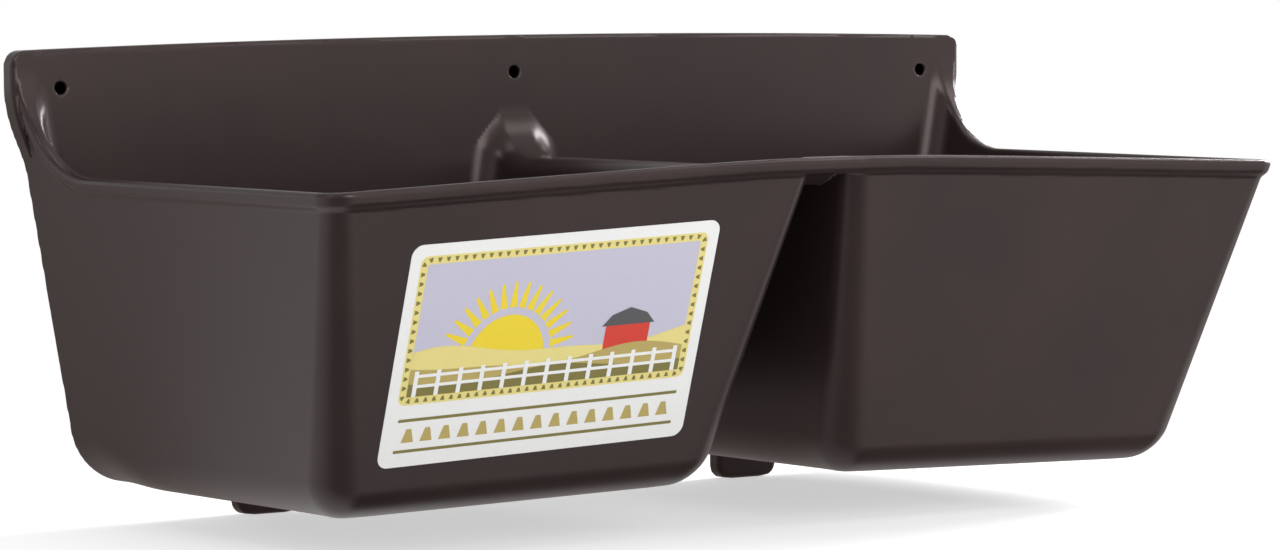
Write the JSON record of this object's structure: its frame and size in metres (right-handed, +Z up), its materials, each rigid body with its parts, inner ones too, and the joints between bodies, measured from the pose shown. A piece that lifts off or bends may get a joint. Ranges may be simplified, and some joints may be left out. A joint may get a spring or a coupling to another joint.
{
  "type": "livestock mineral feeder",
  "caption": "Wall-hung livestock mineral feeder: tapered open tubs side by side on a moulded back plate with screw holes and two feet, a rolled rim and a stuck-on label.",
  "frame": {"origin": "middle of the bounding box, at the underside of the feet", "axes": "+X along the feeder's length, to the right of someone facing its front; +Y towards the wall it hangs on; +Z up"},
  "size_m": [0.612, 0.2994, 0.249],
  "materials": {
    "moulding": "satin, fine moulded grain",
    "label": "printed sheet"
  },
  "bodies": {
    "root": {"back_plate": "moulding", "left_tub": "moulding", "right_tub": "moulding", "left_rim": "moulding", "right_rim": "moulding", "divider": "moulding", "label": "label"}
  },
  "joints": []
}
